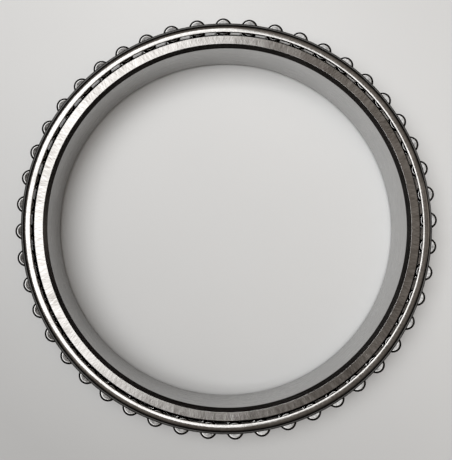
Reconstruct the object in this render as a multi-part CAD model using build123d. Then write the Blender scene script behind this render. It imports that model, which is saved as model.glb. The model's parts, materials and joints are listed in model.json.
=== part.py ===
"""Inner assembly of a thin-section single-row tapered roller bearing.

An inner ring, a pressed steel cage and a full row of tapered rollers.
Millimetres. +Z is the bearing axis, and z = 0 is the back face of the inner ring,
at the large ends of the rollers. The front face, with the small ends, is on top.
"""

import math
import os

from build123d import *

# Driving dimensions
BORE_RADIUS = 98.425  # 7.75 inch bore
RING_WIDTH = 27.78
ROLLER_COUNT = 48
ROLLER_TILT = 14.3  # degrees between a roller's axis and the bearing axis
ROLLER_LENGTH = 18.5
ROLLER_MEAN_RADIUS = 4.92
ROLLER_CORNER = 1.4
SMALL_END_R = 111.15  # centre of the roller's small end, from the bearing axis
SMALL_END_Z = 24.4  # and above the back face
FIRST_ROLLER_ANGLE = 1.65  # degrees round the bearing from +X

# Inner ring
BORE_CHAMFER = 2.0
FACE_OUTER_R = 104.85
FRONT_LAND_R = 105.75
SMALL_RIB_R = 106.95
LARGE_RIB_R = 113.7
RACEWAY_CLEARANCE = 0.1
RIB_CLEARANCE = 0.08
SMALL_END_PLAY = 0.35
UNDERCUT_DEPTH = 0.45
UNDERCUT_WIDTH = 1.1

# Cage: its flange is square to the rollers' axes and its wall is parallel to them
SHEET = 1.3
FLANGE_AHEAD = 4.8  # outside of the flange, beyond the rollers' small ends
FLANGE_EDGE_OUT = -3.37  # edge of the central hole, from the rollers' axes
CAGE_WALL_OUT = 1.9  # outside of the wall, from the rollers' axes
CAGE_BEND_R = 4.8  # outside of the bend
CAGE_LARGE_BAND = 2.7
POCKET_HALF_WIDTH = 5.1
POCKET_END_PLAY = 0.4
POCKET_RELIEF_R = 0.7

# The rollers' axes and the raceway meet at one apex on the bearing axis
TILT = math.radians(ROLLER_TILT)
APEX_TO_SMALL_END = SMALL_END_R / math.sin(TILT)
TAPER = math.atan(ROLLER_MEAN_RADIUS / (APEX_TO_SMALL_END + ROLLER_LENGTH / 2))


def roller_radius(along):
    """Radius of a roller; along is 0 at its small end and negative towards its large end."""
    return (APEX_TO_SMALL_END - along) * math.tan(TAPER)


def beside_roller(out, along):
    """Radius and height of a point of the section through a roller's axis.

    out is the distance outwards from the roller's axis, along the distance from its small end,
    upwards.
    """
    radius = SMALL_END_R + out * math.cos(TILT) - along * math.sin(TILT)
    height = SMALL_END_Z + out * math.sin(TILT) + along * math.cos(TILT)
    return radius, height


def rounded_outline(corners):
    """Closed face in the XZ plane from corners (radius, height, rounding)."""
    edges = []
    starts = []
    ends = []
    for i, (r, z, rounding) in enumerate(corners):
        corner = Vector(r, 0, z)
        before = Vector(corners[i - 1][0], 0, corners[i - 1][1])
        after = Vector(corners[(i + 1) % len(corners)][0], 0, corners[(i + 1) % len(corners)][1])
        back = (before - corner).normalized()
        ahead = (after - corner).normalized()
        if rounding == 0:
            starts.append(corner)
            ends.append(corner)
            continue
        half = math.radians(back.get_angle(ahead)) / 2
        reach = rounding / math.tan(half)
        middle = (back + ahead).normalized()
        centre = corner + middle * (rounding / math.sin(half))
        starts.append(corner + back * reach)
        ends.append(corner + ahead * reach)
        edges.append(ThreePointArc(starts[-1], centre - middle * rounding, ends[-1]))
    for i, end in enumerate(ends):
        start = starts[(i + 1) % len(starts)]
        if (start - end).length > 1e-6:
            edges.append(Line(end, start))
    return make_face(edges)


def inner_ring():
    """Ring with a bore, a conical raceway, a high rib at the back and a low rib in front."""
    large_end = -ROLLER_LENGTH
    race_large = large_end + UNDERCUT_WIDTH
    race_small = -UNDERCUT_WIDTH
    rib_face = large_end - RIB_CLEARANCE

    def race_out(along):
        return -roller_radius(along) - RACEWAY_CLEARANCE

    # the rib face is square to the roller's axis, so its height changes along it
    rib_top_out = (LARGE_RIB_R - beside_roller(0, rib_face)[0]) / math.cos(TILT)
    small_rib_out = (SMALL_RIB_R - beside_roller(0, SMALL_END_PLAY)[0]) / math.cos(TILT)
    small_rib_z = beside_roller(small_rib_out, SMALL_END_PLAY)[1]
    corners = [
        (BORE_RADIUS, BORE_CHAMFER, 0.5),
        (BORE_RADIUS + BORE_CHAMFER, 0, 0.5),
        (LARGE_RIB_R - 1.0, 0, 0.3),
        (LARGE_RIB_R, 1.0, 0.3),
        (*beside_roller(rib_top_out, rib_face), 0.4),
        (*beside_roller(race_out(race_large) + 0.3, rib_face), 0),
        (*beside_roller(race_out(race_large) - UNDERCUT_DEPTH, rib_face + 0.1), 0.35),
        (*beside_roller(race_out(race_large) - UNDERCUT_DEPTH, race_large - 0.4), 0.3),
        (*beside_roller(race_out(race_large), race_large), 0.1),
        (*beside_roller(race_out(race_small), race_small), 0.1),
        (*beside_roller(race_out(race_small) - UNDERCUT_DEPTH, race_small + 0.4), 0.3),
        (*beside_roller(race_out(race_small) - UNDERCUT_DEPTH, SMALL_END_PLAY - 0.1), 0.35),
        (*beside_roller(race_out(race_small) + 0.05, SMALL_END_PLAY), 0),
        (SMALL_RIB_R, small_rib_z, 0.15),
        (SMALL_RIB_R, small_rib_z + 0.6, 0.2),
        (FRONT_LAND_R + 0.4, small_rib_z + 1.4, 0.4),
        (FRONT_LAND_R, RING_WIDTH - FRONT_LAND_R + FACE_OUTER_R, 0.3),
        (FACE_OUTER_R, RING_WIDTH, 0.15),
        (BORE_RADIUS + BORE_CHAMFER, RING_WIDTH, 0.25),
        (BORE_RADIUS, RING_WIDTH - BORE_CHAMFER, 0.5),
    ]
    return revolve(rounded_outline(corners), Axis.Z)


def cage_blank():
    """Pressed sheet: a narrow flange, a round bend and a conical wall with a plain edge."""
    wall_end = -ROLLER_LENGTH - POCKET_END_PLAY - CAGE_LARGE_BAND
    corners = [
        (*beside_roller(FLANGE_EDGE_OUT, FLANGE_AHEAD - SHEET), 0.15),
        (*beside_roller(CAGE_WALL_OUT - SHEET, FLANGE_AHEAD - SHEET), CAGE_BEND_R - SHEET),
        (*beside_roller(CAGE_WALL_OUT - SHEET, wall_end), 0.15),
        (*beside_roller(CAGE_WALL_OUT, wall_end), 0.3),
        (*beside_roller(CAGE_WALL_OUT, FLANGE_AHEAD), CAGE_BEND_R),
        (*beside_roller(FLANGE_EDGE_OUT, FLANGE_AHEAD), 0.3),
    ]
    return revolve(rounded_outline(corners), Axis.Z)


def pocket_cutter():
    """Prism through the sheet at the roller on +X, with a round relief at each corner."""
    top = POCKET_END_PLAY
    bottom = -ROLLER_LENGTH - POCKET_END_PLAY
    r, z = beside_roller(-2, 0)
    # local x runs along the roller, local y across it, local z outwards
    plane = Plane(
        origin=(r, 0, z),
        x_dir=(-math.sin(TILT), 0, math.cos(TILT)),
        z_dir=(math.cos(TILT), 0, math.sin(TILT)),
    )
    outline = Pos((top + bottom) / 2, 0) * Rectangle(top - bottom, 2 * POCKET_HALF_WIDTH)
    for along in (top - POCKET_RELIEF_R / 2, bottom + POCKET_RELIEF_R / 2):
        for side in (-POCKET_HALF_WIDTH, POCKET_HALF_WIDTH):
            outline += Pos(along, side) * Circle(POCKET_RELIEF_R)
    return extrude(plane * outline, 8)


def cage(angles):
    """The pressed blank with one pocket at each roller."""
    cutter = pocket_cutter()
    return cage_blank() - [Rot(0, 0, angle) * cutter for angle in angles]


def roller():
    """Tapered roller at the +X side of the ring, on its tilted axis."""
    small = roller_radius(0)
    large = roller_radius(-ROLLER_LENGTH)
    outline = rounded_outline(
        [
            (0, 0, 0),
            (small, 0, ROLLER_CORNER),
            (large, -ROLLER_LENGTH, ROLLER_CORNER),
            (0, -ROLLER_LENGTH, 0),
        ]
    )
    upright = revolve(outline, Axis.Z)
    return Pos(SMALL_END_R, 0, SMALL_END_Z) * Rot(0, -ROLLER_TILT, 0) * upright


pitch = 360 / ROLLER_COUNT
roller_angles = [FIRST_ROLLER_ANGLE + pitch * i for i in range(ROLLER_COUNT)]
one_roller = roller()

os.makedirs("parts", exist_ok=True)
export_step(inner_ring(), "parts/inner_ring.step")
export_step(cage(roller_angles), "parts/cage.step")
for number, angle in enumerate(roller_angles, start=1):
    export_step(Rot(0, 0, angle) * one_roller, f"parts/roller_{number:02d}.step")
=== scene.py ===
"""Looks of the tapered roller cone assembly: ground ring, pressed cage and rollers on a pale table."""

import json
import math
import random

import bpy
from mathutils import Matrix, Vector


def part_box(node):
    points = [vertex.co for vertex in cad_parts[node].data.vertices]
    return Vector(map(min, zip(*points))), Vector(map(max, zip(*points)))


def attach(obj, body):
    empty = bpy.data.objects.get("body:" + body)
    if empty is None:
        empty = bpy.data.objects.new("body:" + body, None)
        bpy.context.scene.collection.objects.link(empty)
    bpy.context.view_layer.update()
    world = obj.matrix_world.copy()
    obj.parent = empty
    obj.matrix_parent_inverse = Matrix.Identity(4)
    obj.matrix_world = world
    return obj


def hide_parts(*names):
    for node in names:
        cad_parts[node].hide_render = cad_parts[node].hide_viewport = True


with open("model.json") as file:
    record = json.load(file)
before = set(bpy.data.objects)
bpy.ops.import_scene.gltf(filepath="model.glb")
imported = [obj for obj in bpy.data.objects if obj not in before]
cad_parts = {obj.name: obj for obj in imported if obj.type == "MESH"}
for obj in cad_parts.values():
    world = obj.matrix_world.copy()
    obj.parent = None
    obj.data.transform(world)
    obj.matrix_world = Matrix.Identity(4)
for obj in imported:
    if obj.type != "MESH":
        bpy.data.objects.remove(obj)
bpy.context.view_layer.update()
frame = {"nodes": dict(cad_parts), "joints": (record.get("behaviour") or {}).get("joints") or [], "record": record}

MM = 0.001
random.seed(7)

# Places from the frame
RING_LOW, RING_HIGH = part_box("inner_ring")
WIDTH = (RING_HIGH.z - RING_LOW.z) / MM
mounts = {m["name"]: m for m in frame["record"]["mounts"]}
BORE_R = mounts["bore"]["dims"]["r_mm"]
roller_nodes = sorted(n for n in frame["nodes"] if n.startswith("roller_"))
roller_joints = {j["child"]: j for j in frame["joints"]}
COUNT = len(roller_nodes)
PITCH = 2 * math.pi / COUNT
first_joint = roller_joints[roller_nodes[0]]
roller_middle = Vector(first_joint["pos_m"])
roller_axis = Vector(first_joint["axis"]).normalized()
TILT = math.acos(roller_axis.z)

# Rollers, in millimetres
ROLLER_LENGTH = 18.5
ROLLER_MEAN_R = 4.92
ROLLER_CORNER = 1.4
RIM_STEPS = 3  # of the steps round a corner, those next to the end
SMALL_END = roller_middle / MM + roller_axis * ROLLER_LENGTH / 2
SMALL_END_R = math.hypot(SMALL_END.x, SMALL_END.y)
SMALL_END_Z = SMALL_END.z
FIRST_ANGLE = math.atan2(SMALL_END.y, SMALL_END.x)
APEX_TO_SMALL_END = SMALL_END_R / math.sin(TILT)
TAPER = math.atan(ROLLER_MEAN_R / (APEX_TO_SMALL_END + ROLLER_LENGTH / 2))

# Ring
BORE_CHAMFER = 2.0
FACE_OUTER_R = 104.85
FRONT_LAND_R = 105.75
SMALL_RIB_R = 106.95
LARGE_RIB_R = 113.7
RACEWAY_CLEARANCE = 0.1
RIB_CLEARANCE = 0.08
SMALL_END_PLAY = 0.35
UNDERCUT_DEPTH = 0.45
UNDERCUT_WIDTH = 1.1
UNDERCUT_SLOPE = 0.4
RIB_CHAMFER = 1.0

# Cage
SHEET = 1.3
FLANGE_AHEAD = 4.8
FLANGE_EDGE_OUT = -3.37
CAGE_WALL_OUT = 1.9
CAGE_BEND_R = 4.8
CAGE_LARGE_BAND = 2.7
POCKET_HALF_WIDTH = 5.1
POCKET_END_PLAY = 0.4
POCKET_RELIEF_R = 0.7
SHEARED_EDGE = 0.14

# The bend between the cage's flange and its wall
BEND_OUT = CAGE_WALL_OUT - CAGE_BEND_R
BEND_ALONG = FLANGE_AHEAD - CAGE_BEND_R
FLANGE_FLAT = BEND_OUT - FLANGE_EDGE_OUT
BEND_LENGTH = CAGE_BEND_R * math.pi / 2
CAGE_END = -ROLLER_LENGTH - POCKET_END_PLAY - CAGE_LARGE_BAND

# Fineness of the meshes
RING_SEGMENTS = 720
ROLLER_SEGMENTS = 96
CORNER_STEPS = 18

# Finishes, in the order of each piece's materials
FACE, BORE, TURNED, RACEWAY, RIB_SHADE = range(5)
END, BODY, RIM, CORNER = range(4)


# Shapes


def roller_radius(along):
    """Radius of a roller; along is 0 at its small end and negative towards its large end."""
    return (APEX_TO_SMALL_END - along) * math.tan(TAPER)


def beside_roller(out, along):
    """Radius and height of a point in the section through a roller's axis.

    out is the distance outwards from the roller's axis, along the distance upwards from its small end.
    """
    radius = SMALL_END_R + out * math.cos(TILT) - along * math.sin(TILT)
    height = SMALL_END_Z + out * math.sin(TILT) + along * math.cos(TILT)
    return radius, height


def round_corner(before, corner, after, rounding, steps):
    """Points and outward normals along a rounded corner of an outline that runs anticlockwise."""
    before, corner, after = Vector(before), Vector(corner), Vector(after)
    back = (before - corner).normalized()
    ahead = (after - corner).normalized()
    half = back.angle(ahead) / 2
    bulges = back.x * ahead.y - back.y * ahead.x < 0
    centre = corner + (back + ahead).normalized() * (rounding / math.sin(half))
    start = corner + back * (rounding / math.tan(half)) - centre
    end = corner + ahead * (rounding / math.tan(half)) - centre
    turn = start.angle_signed(end)
    found = []
    for i in range(steps + 1):
        ray = Matrix.Rotation(-turn * i / steps, 2) @ start
        normal = ray.normalized() if bulges else -ray.normalized()
        found.append((centre + ray, normal))
    return found


def outline(corners, steps=6):
    """Points, normals and finishes of an outline with corners (radius, height, rounding, finish).

    The finish is that of the edge after the corner.
    """
    points = []
    normals = []
    finishes = []
    for i, (r, z, rounding, finish) in enumerate(corners):
        before = corners[i - 1][:2]
        after = corners[(i + 1) % len(corners)][:2]
        arc = round_corner(before, (r, z), after, rounding, steps)
        for point, normal in arc:
            points.append(point)
            normals.append(normal)
            finishes.append(finish)
    return points, normals, finishes


def mesh_object(name, verts, faces, finishes=None, materials=(), normals=None):
    """A smooth shaded mesh object from millimetre points."""
    mesh = bpy.data.meshes.new(name)
    mesh.from_pydata([tuple(c * MM for c in v) for v in verts], [], faces)
    for material in materials:
        mesh.materials.append(material)
    if finishes is not None:
        mesh.polygons.foreach_set("material_index", finishes)
    mesh.polygons.foreach_set("use_smooth", [True] * len(mesh.polygons))
    mesh.update()
    if normals is not None:
        mesh.normals_split_custom_set_from_vertices(normals)
    obj = bpy.data.objects.new(name, mesh)
    bpy.context.scene.collection.objects.link(obj)
    return obj


def lathe(points, normals, finishes, segments, closed):
    """Verts, faces, face finishes and vertex normals of an outline turned about the Z axis."""
    count = len(points)
    verts = []
    out_normals = []
    for k in range(segments):
        c = math.cos(2 * math.pi * k / segments)
        s = math.sin(2 * math.pi * k / segments)
        verts += [(p[0] * c, p[0] * s, p[1]) for p in points]
        out_normals += [(n[0] * c, n[0] * s, n[1]) for n in normals]
    faces = []
    face_finishes = []
    for k in range(segments):
        here = k * count
        there = (k + 1) % segments * count
        for i in range(count if closed else count - 1):
            j = (i + 1) % count
            faces.append((here + i, there + i, there + j, here + j))
            face_finishes.append(finishes[i])
    if not closed:
        for pole, ring, up in ((0, 0, -1), (1, count - 1, 1)):
            verts.append((0, 0, points[ring][1]))
            out_normals.append((0, 0, up))
            tip = len(verts) - 1
            for k in range(segments):
                here = k * count + ring
                there = (k + 1) % segments * count + ring
                faces.append((tip, here, there) if pole else (tip, there, here))
                face_finishes.append(finishes[ring])
    return verts, faces, face_finishes, out_normals


def make_ring(materials):
    """Inner ring turned from the bearing's own section."""
    large_end = -ROLLER_LENGTH
    race_large = large_end + UNDERCUT_WIDTH
    race_small = -UNDERCUT_WIDTH
    rib_face = large_end - RIB_CLEARANCE

    def race_out(along):
        return -roller_radius(along) - RACEWAY_CLEARANCE

    rib_top_out = (LARGE_RIB_R - beside_roller(0, rib_face)[0]) / math.cos(TILT)
    small_rib_out = (SMALL_RIB_R - beside_roller(0, SMALL_END_PLAY)[0]) / math.cos(TILT)
    small_rib_z = beside_roller(small_rib_out, SMALL_END_PLAY)[1]
    low_out = race_out(race_large)
    high_out = race_out(race_small)
    chamfer_r = BORE_R + BORE_CHAMFER
    shoulder_z = WIDTH - FRONT_LAND_R + FACE_OUTER_R
    corners = [
        (BORE_R, BORE_CHAMFER, 0.3, TURNED),
        (chamfer_r, 0, 0.15, FACE),
        (LARGE_RIB_R - RIB_CHAMFER, 0, 0.3, TURNED),
        (LARGE_RIB_R, RIB_CHAMFER, 0.3, TURNED),
        (*beside_roller(rib_top_out, rib_face), 0.4, RACEWAY),
        (*beside_roller(low_out - UNDERCUT_DEPTH, rib_face + 0.1), 0.35, TURNED),
        (*beside_roller(low_out - UNDERCUT_DEPTH, race_large - UNDERCUT_SLOPE), 0.3, TURNED),
        (*beside_roller(low_out, race_large), 0.1, RACEWAY),
        (*beside_roller(high_out, race_small), 0.1, TURNED),
        (*beside_roller(high_out - UNDERCUT_DEPTH, race_small + UNDERCUT_SLOPE), 0.3, TURNED),
        (*beside_roller(high_out - UNDERCUT_DEPTH, SMALL_END_PLAY - 0.1), 0.35, TURNED),
        # Painted shade: the small rib and front land, down in the gap below the cage, are coloured near black
        (SMALL_RIB_R, small_rib_z, 0.15, RIB_SHADE),
        (SMALL_RIB_R, small_rib_z + 0.6, 0.2, RIB_SHADE),
        (FRONT_LAND_R + 0.4, small_rib_z + 1.4, 0.4, RIB_SHADE),
        (FRONT_LAND_R, shoulder_z, 0.3, RIB_SHADE),
        (FACE_OUTER_R, WIDTH, 0.15, FACE),
        (chamfer_r, WIDTH, 0.12, TURNED),
        (BORE_R, WIDTH - BORE_CHAMFER, 0.25, BORE),
    ]
    verts, faces, finishes, normals = lathe(*outline(corners), RING_SEGMENTS, closed=True)
    ring = mesh_object("inner_ring_ground", verts, faces, finishes, materials, normals)
    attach(ring, "inner_ring")
    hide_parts("inner_ring")
    return ring


def cage_section(distance):
    """Radius and height on the outside of the sheet, at a distance along it from the flange's edge."""
    if distance < FLANGE_FLAT:
        return beside_roller(FLANGE_EDGE_OUT + distance, FLANGE_AHEAD)
    if distance < FLANGE_FLAT + BEND_LENGTH:
        turn = (distance - FLANGE_FLAT) / CAGE_BEND_R
        out = BEND_OUT + CAGE_BEND_R * math.sin(turn)
        return beside_roller(out, BEND_ALONG + CAGE_BEND_R * math.cos(turn))
    return beside_roller(CAGE_WALL_OUT, BEND_ALONG - (distance - FLANGE_FLAT - BEND_LENGTH))


def cage_distance(along):
    """Distance along the sheet's outside from the flange's edge to a place level with along."""
    if along < BEND_ALONG:
        return FLANGE_FLAT + BEND_LENGTH + BEND_ALONG - along
    return FLANGE_FLAT + CAGE_BEND_R * math.acos((along - BEND_ALONG) / CAGE_BEND_R)


def pocket_rows():
    """Rows down a pocket's side: (along, half width), following the round reliefs at both ends.

    A relief's centre lies half its radius inside the pocket's end, in line with the side.
    """
    top_centre = POCKET_END_PLAY - POCKET_RELIEF_R / 2
    bottom_centre = -ROLLER_LENGTH - POCKET_END_PLAY + POCKET_RELIEF_R / 2
    steps = 6
    turns = [math.radians(45 - 135 * i / steps) for i in range(steps + 1)]
    relief = [(POCKET_RELIEF_R * math.sin(t), POCKET_RELIEF_R * math.cos(t)) for t in turns]
    rows = [(top_centre + a, POCKET_HALF_WIDTH + w) for a, w in relief]
    straight = 12
    start = rows[-1][0]
    end = bottom_centre + POCKET_RELIEF_R
    rows += [(start + (end - start) * i / straight, POCKET_HALF_WIDTH) for i in range(1, straight)]
    rows += [(bottom_centre - a, POCKET_HALF_WIDTH + w) for a, w in reversed(relief)]
    return rows


def pocket_end(across, sign):
    """How far along the pocket's end lies at a place across it: flat, then round at the reliefs."""
    end = POCKET_END_PLAY if sign > 0 else -ROLLER_LENGTH - POCKET_END_PLAY
    centre = end - sign * POCKET_RELIEF_R / 2
    beside = abs(across) - POCKET_HALF_WIDTH
    if abs(beside) >= POCKET_RELIEF_R * math.cos(math.pi / 6):
        return end
    return centre + sign * math.sqrt(POCKET_RELIEF_R**2 - beside**2)


def grid_rows():
    """Rows down the whole sheet: (distance, half width), and which are the pockets' first and last."""
    rows = pocket_rows()
    widest = rows[0][1]
    ahead_rows = 18
    band_rows = 5
    first = cage_distance(rows[0][0])
    last = cage_distance(rows[-1][0])
    edge = cage_distance(CAGE_END)
    ahead = [(first * i / ahead_rows, widest) for i in range(ahead_rows)]
    beside = [(cage_distance(along), width) for along, width in rows]
    band = [(last + (edge - last) * i / band_rows, widest) for i in range(1, band_rows + 1)]
    return ahead + beside + band, ahead_rows, ahead_rows + len(rows) - 1


def cage_grid():
    """Verts and faces of a grid on the outside of the sheet, with a hole at each roller."""
    rows, top, bottom = grid_rows()
    shares = [-1, -0.95, -0.9, -0.85, -0.8, -0.6, -0.4, -0.2]
    shares += [0] + [-x for x in reversed(shares)]
    bar_columns = 7
    across_pocket = len(shares) - 1
    columns = across_pocket + bar_columns
    verts = []
    index = {}
    for k in range(COUNT):
        middle = FIRST_ANGLE + PITCH * k
        for i, (distance, width) in enumerate(rows):
            radius, height = cage_section(distance)
            side = math.asin(width / radius)
            for c in range(columns):
                inside = 0 < c < across_pocket
                if inside and top < i < bottom:
                    continue
                r, z = radius, height
                if c <= across_pocket:
                    across = shares[c] * width
                    if inside and i in (top, bottom):
                        level = pocket_end(across, 1 if i == top else -1)
                        r, z = cage_section(cage_distance(level))
                    angle = middle + math.asin(across / r)
                else:
                    share = (c - across_pocket) / bar_columns
                    angle = middle + side + (PITCH - 2 * side) * share
                index[k * columns + c, i] = len(verts)
                verts.append((r * math.cos(angle), r * math.sin(angle), z))
    faces = []
    total = COUNT * columns
    for column in range(total):
        for i in range(len(rows) - 1):
            if column % columns < across_pocket and top <= i < bottom:
                continue
            after = (column + 1) % total
            corners = (column, i), (column, i + 1), (after, i + 1), (after, i)
            faces.append(tuple(index[corner] for corner in corners))
    return verts, faces


def make_cage(materials):
    """Cage: the sheet's outside thickened inwards. Materials: outside, inside; the inside is painted near black as
    shade.
    """
    verts, faces = cage_grid()
    sheet = mesh_object("cage_sheet", verts, faces, materials=materials)
    solidify = sheet.modifiers.new("thickness", "SOLIDIFY")
    solidify.thickness = SHEET * MM
    solidify.offset = -1
    solidify.material_offset = 1
    bevel = sheet.modifiers.new("sheared edges", "BEVEL")
    bevel.width = SHEARED_EDGE * MM
    bevel.segments = 2
    bevel.angle_limit = math.radians(60)
    weighted = sheet.modifiers.new("normals", "WEIGHTED_NORMAL")
    weighted.keep_sharp = False
    bpy.context.view_layer.update()
    evaluated = sheet.evaluated_get(bpy.context.evaluated_depsgraph_get())
    mesh = bpy.data.meshes.new_from_object(evaluated)
    mesh.name = "cage_pressed"
    cage = bpy.data.objects.new("cage_pressed", mesh)
    bpy.context.scene.collection.objects.link(cage)
    bpy.data.objects.remove(sheet)
    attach(cage, "cage")
    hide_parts("cage")
    return cage


def roller_mesh(materials):
    """One roller standing on its own axis, small end up at the origin."""
    small = roller_radius(0)
    large = roller_radius(-ROLLER_LENGTH)
    foot = (0, -ROLLER_LENGTH)
    head = (0, 0)
    large_edge = (large, -ROLLER_LENGTH)
    small_edge = (small, 0)
    lower = round_corner(foot, large_edge, small_edge, ROLLER_CORNER, CORNER_STEPS)
    upper = round_corner(large_edge, small_edge, head, ROLLER_CORNER, CORNER_STEPS)
    points = [p for p, _ in lower + upper]
    normals = [n for _, n in lower + upper]
    # Most of each corner takes the near-black painted shade; the steps next to the end keep the rim's lighter
    # steel
    corner = [CORNER] * (CORNER_STEPS - RIM_STEPS) + [RIM] * RIM_STEPS
    finishes = corner[::-1] + [BODY] + corner + [END]
    turned_shape = lathe(points, normals, finishes, ROLLER_SEGMENTS, closed=False)
    verts, faces, face_finishes, out_normals = turned_shape
    obj = mesh_object("roller_shape", verts, faces, face_finishes, materials, out_normals)
    mesh = obj.data
    bpy.data.objects.remove(obj)
    return mesh


def make_rollers(materials):
    """One object for each roller, on its joint's axis, turned at random about that axis."""
    mesh = roller_mesh(materials)
    for node in roller_nodes:
        joint = roller_joints[node]
        axis = Vector(joint["axis"]).normalized()
        place = Vector(joint["pos_m"]) + axis * (ROLLER_LENGTH / 2 * MM)
        spin = Matrix.Rotation(random.uniform(0, 2 * math.pi), 4, "Z")
        lean = axis.to_track_quat("Z", "Y").to_matrix().to_4x4()
        roller = bpy.data.objects.new(node + "_ground", mesh)
        bpy.context.scene.collection.objects.link(roller)
        roller.matrix_world = Matrix.Translation(place) @ lean @ spin
        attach(roller, node)
        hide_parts(node)


# Materials


class Nodes:
    """Short calls for building a node tree."""

    def __init__(self, tree):
        self.tree = tree
        self.tree.nodes.clear()

    def add(self, kind, settings=None, **inputs):
        node = self.tree.nodes.new(kind)
        for name, value in (settings or {}).items():
            setattr(node, name, value)
        for name, value in inputs.items():
            self.put(node, name.replace("_", " "), value)
        return node

    def put(self, node, name, value):
        socket = node.inputs[int(name)] if name.strip().isdigit() else node.inputs[name]
        if isinstance(value, bpy.types.NodeSocket):
            self.tree.links.new(value, socket)
        else:
            socket.default_value = value

    def math(self, operation, *values):
        node = self.tree.nodes.new("ShaderNodeMath")
        node.operation = operation
        for i, value in enumerate(values):
            self.put(node, str(i), value)
        return node.outputs[0]

    def range(self, value, low, high, to_low, to_high, smooth=False):
        node = self.tree.nodes.new("ShaderNodeMapRange")
        node.interpolation_type = "SMOOTHSTEP" if smooth else "LINEAR"
        for i, entry in enumerate((value, low, high, to_low, to_high)):
            self.put(node, str(i), entry)
        return node.outputs[0]

    def vector(self, x, y, z=0.0):
        node = self.tree.nodes.new("ShaderNodeCombineXYZ")
        for i, value in enumerate((x, y, z)):
            self.put(node, str(i), value)
        return node.outputs[0]

    def noise(self, vector, scale, detail=2.0, roughness=0.5):
        node = self.tree.nodes.new("ShaderNodeTexNoise")
        self.put(node, "Vector", vector)
        self.put(node, "Scale", scale)
        self.put(node, "Detail", detail)
        self.put(node, "Roughness", roughness)
        return node.outputs["Fac"]

    def mix(self, factor, first, second):
        node = self.tree.nodes.new("ShaderNodeMix")
        node.data_type = "RGBA"
        for slot, value in ((0, factor), (6, first), (7, second)):
            self.put(node, str(slot), value)
        return node.outputs[2]

    def bump(self, height, distance, strength):
        node = self.tree.nodes.new("ShaderNodeBump")
        self.put(node, "Height", height)
        node.inputs["Distance"].default_value = distance
        node.inputs["Strength"].default_value = strength
        return node.outputs[0]


def grey(level, warmth=0.0):
    """A grey, or with some warmth a slightly brown one."""
    return (level * (1 + warmth), level, level * (1 - warmth), 1.0)


def polar(nodes):
    """The shaded point, and its angle, radius and height about the object's own Z axis in millimetres."""
    place = nodes.add("ShaderNodeTexCoord").outputs["Object"]
    parts = nodes.add("ShaderNodeSeparateXYZ", Vector=place).outputs
    x, y, z = (nodes.math("DIVIDE", parts[i], MM) for i in range(3))
    squares = nodes.math("MULTIPLY_ADD", x, x, nodes.math("MULTIPLY", y, y))
    return place, nodes.math("ARCTAN2", y, x), nodes.math("SQRT", squares), z


def steel(name, dark, light, roughness, marks, bump_depth, painted_shade_mask=None, grazing_painted_shade=False):
    """Steel, bare or darkened with painted shade.

    marks(nodes) is a field of fine marks; the optional mask gives 1 where the steel keeps its colour and 0 where
    it is painted dark, a painted shade.
    With the last flag set, the reflection seen at a low angle is turned nearly black, a painted shade where the
    part would mirror the bright table.
    """
    material = bpy.data.materials.new(name)
    material.use_nodes = True
    nodes = Nodes(material.node_tree)
    place = nodes.add("ShaderNodeTexCoord").outputs["Object"]
    field = marks(nodes)
    blotch = nodes.noise(place, 60.0, 4.0, 0.6)
    shade = nodes.math("MULTIPLY_ADD", field, 0.75, nodes.math("MULTIPLY", blotch, 0.25))
    colour = nodes.mix(nodes.range(shade, 0.38, 0.62, 0.0, 1.0), dark, light)
    if painted_shade_mask is not None:
        # Painted shade: the dark colour laid where the mask is 0
        painted_shade_colour = grey(0.05, 0.05)
        colour = nodes.mix(painted_shade_mask(nodes), painted_shade_colour, colour)
    rough = nodes.range(shade, 0.35, 0.65, roughness[0], roughness[1])
    normal = nodes.bump(field, bump_depth * MM, 1.0)
    inputs = {"Base_Color": colour, "Metallic": 1.0, "Roughness": rough, "Normal": normal}
    shader = nodes.add("ShaderNodeBsdfPrincipled", **inputs)
    if grazing_painted_shade:
        # Painted shade: a near-black edge tint hides the grazing reflection
        shader.inputs["Specular Tint"].default_value = (0.03, 0.03, 0.03, 1.0)
    nodes.add("ShaderNodeOutputMaterial", Surface=shader.outputs[0])
    return material


def ground_marks(nodes):
    """Crossed, nearly radial marks of a face grinding wheel."""
    _, angle, radius, _ = polar(nodes)
    around = nodes.math("MULTIPLY", angle, FACE_OUTER_R)
    fields = []
    for slant, shift, fineness in ((0.4, 0.0, 2.2), (-0.3, 31.0, 1.4)):
        across = nodes.math("MULTIPLY_ADD", radius, slant, around)
        along = nodes.math("MULTIPLY", radius, 0.12)
        spot = nodes.vector(nodes.math("MULTIPLY", across, fineness), along, shift)
        fields.append(nodes.noise(spot, 1.0, 4.0, 0.62))
    return nodes.math("MULTIPLY", nodes.math("ADD", *fields), 0.5)


def crest_shine(nodes):
    """Painted shade by height: the bend's crest keeps the steel's colour, and the wall lower down is painted dark
    as if it mirrored dark surroundings.
    """
    painted_dark_below = 24.6
    steel_colour_above = 26.8
    place, _, _, height = polar(nodes)
    edge = nodes.math("MULTIPLY_ADD", nodes.noise(place, 300.0, 3.0), 0.6, height)
    return nodes.range(edge, painted_dark_below, steel_colour_above, 0.0, 1.0, smooth=True)


def turned_marks(nodes):
    """Fine circumferential lines of turning, grinding or honing."""
    _, angle, radius, height = polar(nodes)
    along = nodes.math("ADD", radius, height)
    spot = nodes.vector(nodes.math("MULTIPLY", along, 5.0), nodes.math("MULTIPLY", angle, 3.0), 0.0)
    return nodes.noise(spot, 1.0, 4.0, 0.6)


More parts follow.
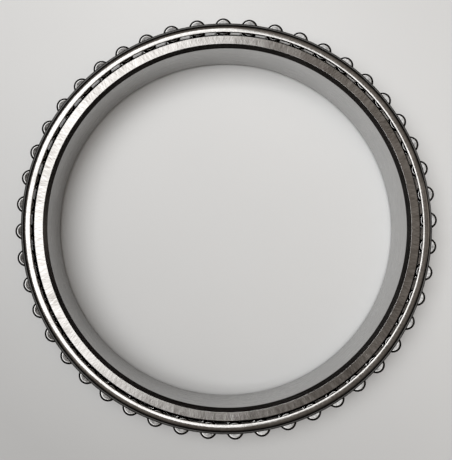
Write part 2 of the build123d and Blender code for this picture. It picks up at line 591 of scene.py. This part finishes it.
def tumbled_marks(nodes):
    """Small dents, faint drawing lines and scuffs of a pressed and tumbled sheet."""
    place, angle, _, height = polar(nodes)
    spot = nodes.vector(nodes.math("MULTIPLY", height, 3.0), nodes.math("MULTIPLY", angle, 12.0))
    drawn = nodes.noise(spot, 1.0, 3.0)
    dents = nodes.noise(place, 900.0, 3.0, 0.55)
    return nodes.math("MULTIPLY_ADD", drawn, 0.35, nodes.math("MULTIPLY", dents, 0.65))


def end_marks(nodes):
    """Concentric and mottled marks on a roller's end."""
    place, angle, radius, _ = polar(nodes)
    rings = nodes.noise(nodes.vector(nodes.math("MULTIPLY", radius, 4.0), angle), 1.0, 3.0)
    mottle = nodes.noise(place, 700.0, 4.0, 0.65)
    return nodes.math("MULTIPLY_ADD", rings, 0.5, nodes.math("MULTIPLY", mottle, 0.5))


# Studio


def make_floor():
    """Plain pale table top just under the ring's back face, with painted shadow making it a little greyer towards
    the near left.
    """
    material = bpy.data.materials.new("table")
    material.use_nodes = True
    nodes = Nodes(material.node_tree)
    place = nodes.add("ShaderNodeTexCoord").outputs["Object"]
    grain = nodes.noise(place, 450.0, 3.0)
    cloud = nodes.noise(place, 9.0, 2.0)
    parts = nodes.add("ShaderNodeSeparateXYZ", Vector=place).outputs
    # Painted shadow: the table's colour falls off towards the near left
    drift = nodes.math("MULTIPLY_ADD", parts[0], 0.85, parts[1])
    painted_shade_level = nodes.range(drift, -0.22, 0.12, 0.46, 0.79)
    level = nodes.math("MULTIPLY_ADD", cloud, 0.04, painted_shade_level)
    red = nodes.math("MULTIPLY", level, 0.965)
    green = nodes.math("MULTIPLY", level, 0.985)
    colour = nodes.vector(red, green, level)
    normal = nodes.bump(grain, 0.04 * MM, 0.5)
    shader = nodes.add("ShaderNodeBsdfPrincipled", Base_Color=colour, Roughness=0.55, Normal=normal)
    nodes.add("ShaderNodeOutputMaterial", Surface=shader.outputs[0])
    bpy.ops.mesh.primitive_plane_add(size=12.0, location=(0, 0, -0.03 * MM))
    floor = bpy.context.object
    floor.name = "table_top"
    floor.data.materials.append(material)


def direction(azimuth, from_zenith):
    """Unit vector towards an azimuth and an angle from straight up, in degrees."""
    a = math.radians(azimuth)
    t = math.radians(from_zenith)
    return Vector((math.sin(t) * math.cos(a), math.sin(t) * math.sin(a), math.cos(t)))


def make_world():
    """Dim room with a paler ceiling and a soft window on the right; the camera sees a plain backdrop."""
    world = bpy.data.worlds.new("room")
    bpy.context.scene.world = world
    world.use_nodes = True
    nodes = Nodes(world.node_tree)
    ray = nodes.add("ShaderNodeTexCoord").outputs["Generated"]
    height = nodes.add("ShaderNodeSeparateXYZ", Vector=ray).outputs[2]
    walls, ceiling = 0.012, 0.47
    total = nodes.range(height, 0.4, 0.92, walls, ceiling, smooth=True)
    # azimuth, angle from straight up, outer and inner radius in degrees, and strength
    window = (5, 59, 12, 4, 0.6)
    dim_patch = (285, 24, 34, 8, -0.15)
    for azimuth, from_zenith, outer, inner, level in (window, dim_patch):
        towards = direction(azimuth, from_zenith)
        dot = nodes.add("ShaderNodeVectorMath", {"operation": "DOT_PRODUCT"})
        nodes.put(dot, "0", ray)
        nodes.put(dot, "1", towards)
        low = math.cos(math.radians(outer))
        high = math.cos(math.radians(inner))
        part = nodes.range(dot.outputs["Value"], low, high, 0.0, level, smooth=True)
        total = nodes.math("ADD", total, part)
    room = nodes.add("ShaderNodeBackground", Color=(1, 0.88, 0.77, 1), Strength=total)
    backdrop = nodes.add("ShaderNodeBackground", Color=(0.5, 0.5, 0.49, 1), Strength=1.0)
    seen = nodes.add("ShaderNodeLightPath").outputs["Is Camera Ray"]
    mixed = nodes.add("ShaderNodeMixShader")
    nodes.put(mixed, "0", seen)
    nodes.put(mixed, "1", room.outputs[0])
    nodes.put(mixed, "2", backdrop.outputs[0])
    nodes.add("ShaderNodeOutputWorld", Surface=mixed.outputs[0])


def make_lights():
    """One large soft panel overhead, reaching from just right of the middle far out to the left."""
    height = 2.0
    data = bpy.data.lights.new("overhead_panel", "AREA")
    data.shape = "RECTANGLE"
    data.size = 0.94 * height
    data.size_y = 0.91 * height
    data.energy = 41.5
    data.color = (1.0, 1.0, 0.995)
    light = bpy.data.objects.new("overhead_panel", data)
    light.location = (-0.41 * height, 0.145 * height, height)
    bpy.context.scene.collection.objects.link(light)


def make_camera():
    """Looks almost straight down, from a little towards the lower left of the picture."""
    place = Vector((-11.40, -14.07, 303.5)) * MM
    target = Vector((-1.90, -2.61, WIDTH)) * MM
    ahead = (target - place).normalized()
    right = ahead.cross(Vector((0, 1, 0))).normalized()
    up = right.cross(ahead)
    data = bpy.data.cameras.new("camera")
    data.sensor_width = 36.0
    data.lens = 39.76
    data.clip_start = 0.01
    camera = bpy.data.objects.new("camera", data)
    turn = Matrix((right, up, -ahead)).transposed().to_4x4()
    camera.matrix_world = Matrix.Translation(place) @ turn
    bpy.context.scene.collection.objects.link(camera)
    bpy.context.scene.camera = camera


face = steel(
    "ground_face", grey(0.115, 0.05), grey(0.335, 0.01), (0.16, 0.28), ground_marks, 0.006
)
bore = steel("honed_bore", grey(0.40, 0.01), grey(0.48, 0.01), (0.22, 0.3), turned_marks, 0.002)
turned = steel(
    "turned_chamfer", grey(0.28, 0.01), grey(0.38, 0.01), (0.16, 0.24), turned_marks, 0.003
)
raceway = steel("raceway", grey(0.55, 0.01), grey(0.65, 0.01), (0.12, 0.2), turned_marks, 0.001)
# Painted shade: near black where the gap between ring face and cage lies in shade
relief = steel(
    "unground_relief", grey(0.008, 0.02), grey(0.02, 0.01), (0.4, 0.55), turned_marks, 0.003,
    grazing_painted_shade=True,
)
# Painted shade: the sheet is painted dark below the bend's crest
pressed = steel(
    "pressed_sheet", grey(0.19, 0.02), grey(0.34, 0.01), (0.1, 0.18), tumbled_marks, 0.006,
    painted_shade_mask=crest_shine, grazing_painted_shade=True,
)
# Painted shade: the inside of the sheet, facing the rollers, is coloured near black
pressed_inside = steel(
    "pressed_inside", grey(0.02, 0.02), grey(0.05, 0.01), (0.3, 0.45), tumbled_marks, 0.006,
    grazing_painted_shade=True,
)
# Painted reflection: the ends are coloured dark in place of the dark camera they would mirror overhead; the mottle
# is their own
roller_end = steel("roller_end", grey(0.02, 0.03), grey(0.22), (0.08, 0.16), end_marks, 0.004)
roller_rim = steel("roller_rim", grey(0.16, 0.01), grey(0.3), (0.16, 0.26), end_marks, 0.002)
# Painted shade: the corner radii are coloured near black to draw a dark outline round each roller end
roller_corner = steel(
    "roller_corner", grey(0.010, 0.02), grey(0.022), (0.4, 0.55), end_marks, 0.004,
    grazing_painted_shade=True,
)
roller_body = steel("roller_body", grey(0.46), grey(0.54), (0.08, 0.16), turned_marks, 0.001)

make_ring([face, bore, turned, raceway, relief])
make_cage([pressed, pressed_inside])
make_rollers([roller_end, roller_body, roller_rim, roller_corner])
make_floor()
make_world()
make_lights()
make_camera()
bpy.context.scene.view_settings.view_transform = "Standard"
